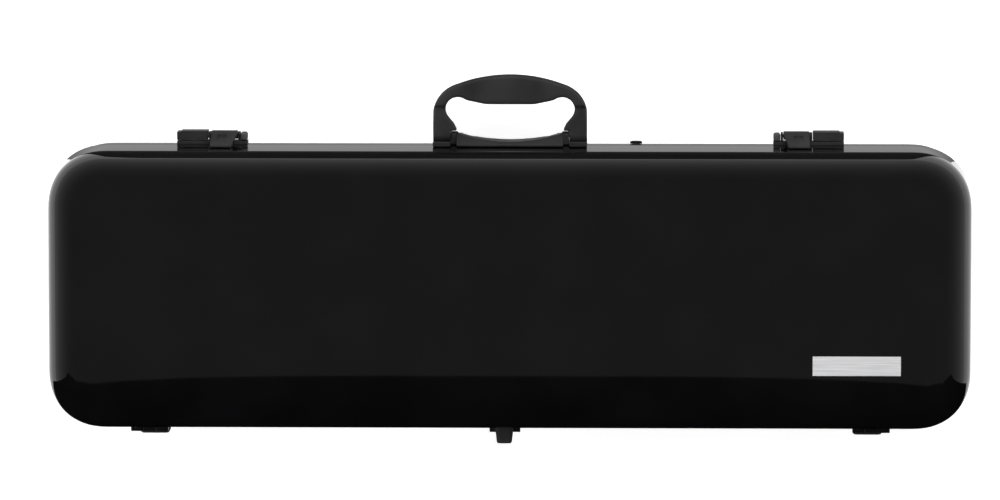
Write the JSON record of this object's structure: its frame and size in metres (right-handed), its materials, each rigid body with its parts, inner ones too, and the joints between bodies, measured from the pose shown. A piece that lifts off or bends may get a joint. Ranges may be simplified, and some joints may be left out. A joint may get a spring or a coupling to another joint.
{
  "type": "violin case",
  "caption": "Oblong hard case for a full-size violin, glossy black, with hinged lid, carrying handle, hook latches, strap rings and a padded bed with bow holders.",
  "frame": {"origin": "on the ground, under the centre of the closed case's box, handle and standing feet included, with the case lying on its tray", "axes": "+X along the length, the scroll end at -X; -Y is the handle and latch side, +Y the hinge side; +Z out of the lid"},
  "size_m": [0.8, 0.3178, 0.1489],
  "materials": {
    "shell": "gloss",
    "rim": "satin",
    "seal": "matte",
    "foot": "matte",
    "hinge": "satin",
    "pin": "satin",
    "screw": "satin",
    "handle": "matte",
    "grip": "matte",
    "latch": "satin",
    "spring": "satin",
    "nameplate": "satin",
    "bed": "matte",
    "lining": "matte",
    "pad": "matte",
    "ribbon": "satin",
    "box_lid": "matte",
    "clip": "satin",
    "ring": "satin"
  },
  "bodies": {
    "tray": {"tray_shell": "shell", "tray_rim": "rim", "rim_seal": "seal", "tray_feet": "foot", "tray_standing_feet": "foot", "hinge_tray_leaves": "hinge", "hinge_pins": "pin", "hinge_tray_screws": "screw", "handle_base": "handle", "handle_screws": "screw", "left_latch_base": "latch", "left_latch_cover": "latch", "left_latch_pin": "pin", "left_latch_spring": "spring", "right_latch_base": "latch", "right_latch_cover": "latch", "right_latch_pin": "pin", "right_latch_spring": "spring", "latch_rivets": "pin", "strap_brackets": "latch", "suspension_bed": "bed", "bout_pads": "pad", "neck_cradle": "pad"},
    "lid": {"lid_shell": "shell", "lid_rim": "rim", "lid_standing_foot": "foot", "hinge_lid_leaves": "hinge", "hinge_lid_screws": "screw", "left_latch_keeper": "latch", "right_latch_keeper": "latch", "nameplate": "nameplate", "lid_lining": "lining", "bow_clip_bases": "clip", "bow_sleeves": "pad", "bow_pads": "pad"},
    "handle": {"handle_frame": "handle", "handle_grip": "grip", "handle_pins": "pin"},
    "left_hook": {"left_latch_hook": "latch"},
    "right_hook": {"right_latch_hook": "latch"},
    "left_button": {"left_latch_button": "latch"},
    "right_button": {"right_latch_button": "latch"},
    "ring_1": {"strap_ring_1": "ring"},
    "ring_2": {"strap_ring_2": "ring"},
    "ring_3": {"strap_ring_3": "ring"},
    "ring_4": {"strap_ring_4": "ring"},
    "box_lid": {"box_lid": "box_lid", "box_pull": "ribbon"},
    "strap_front": {"neck_strap_front": "ribbon"},
    "strap_back": {"neck_strap_back": "ribbon"},
    "clip_front": {"bow_clip_front": "clip"},
    "clip_back": {"bow_clip_back": "clip"}
  },
  "joints": [
    {"name": "lid_open", "type": "hinge", "parent": "tray", "child": "lid", "pos_m": [0, 0.1497, 0.086], "axis": [-1, 0, 0], "range_deg": [0, 105]},
    {"name": "handle_fold", "type": "hinge", "parent": "tray", "child": "handle", "pos_m": [0, -0.1065, 0.086], "axis": [1, 0, 0], "range_deg": [-80, 80]},
    {"name": "left_hook_turn", "type": "hinge", "parent": "tray", "child": "left_hook", "pos_m": [0.2489, -0.1049, 0.072], "axis": [1, 0, 0], "range_deg": [0, 100]},
    {"name": "right_hook_turn", "type": "hinge", "parent": "tray", "child": "right_hook", "pos_m": [-0.2489, -0.1049, 0.072], "axis": [1, 0, 0], "range_deg": [0, 100]},
    {"name": "left_button_slide", "type": "slide", "parent": "tray", "child": "left_button", "axis": [-1, 0, 0], "range_m": [0, 0.003], "stiffness_N_per_m": 400, "springref_m": -0.001},
    {"name": "right_button_slide", "type": "slide", "parent": "tray", "child": "right_button", "axis": [1, 0, 0], "range_m": [0, 0.003], "stiffness_N_per_m": 400, "springref_m": -0.001},
    {"name": "ring_1_swing", "type": "hinge", "parent": "tray", "child": "ring_1", "pos_m": [-0.109, -0.09546, 0.034], "axis": [-1, 0, 0], "range_deg": [0, 150]},
    {"name": "ring_2_swing", "type": "hinge", "parent": "tray", "child": "ring_2", "pos_m": [-0.109, 0.14366, 0.034], "axis": [1, 0, 0], "range_deg": [0, 150]},
    {"name": "ring_3_swing", "type": "hinge", "parent": "tray", "child": "ring_3", "pos_m": [0.258, -0.09546, 0.034], "axis": [-1, 0, 0], "range_deg": [0, 150]},
    {"name": "ring_4_swing", "type": "hinge", "parent": "tray", "child": "ring_4", "pos_m": [0.258, 0.14366, 0.034], "axis": [1, 0, 0], "range_deg": [0, 150]},
    {"name": "box_lid_lift", "type": "hinge", "parent": "tray", "child": "box_lid", "pos_m": [-0.1375, 0.1281, 0.084], "axis": [-1, 0, 0], "range_deg": [0, 90]},
    {"name": "strap_front_flip", "type": "hinge", "parent": "tray", "child": "strap_front", "pos_m": [-0.012, -0.0139, 0.0858], "axis": [1, 0, 0], "range_deg": [0, 150]},
    {"name": "strap_back_flip", "type": "hinge", "parent": "tray", "child": "strap_back", "pos_m": [-0.012, 0.0621, 0.0858], "axis": [-1, 0, 0], "range_deg": [0, 150]},
    {"name": "clip_front_turn", "type": "hinge", "parent": "lid", "child": "clip_front", "pos_m": [0.33, -0.0259, 0.131], "axis": [0, 0, 1], "range_deg": [-90, 90]},
    {"name": "clip_back_turn", "type": "hinge", "parent": "lid", "child": "clip_back", "pos_m": [0.33, 0.0741, 0.131], "axis": [0, 0, 1], "range_deg": [-90, 90]}
  ]
}
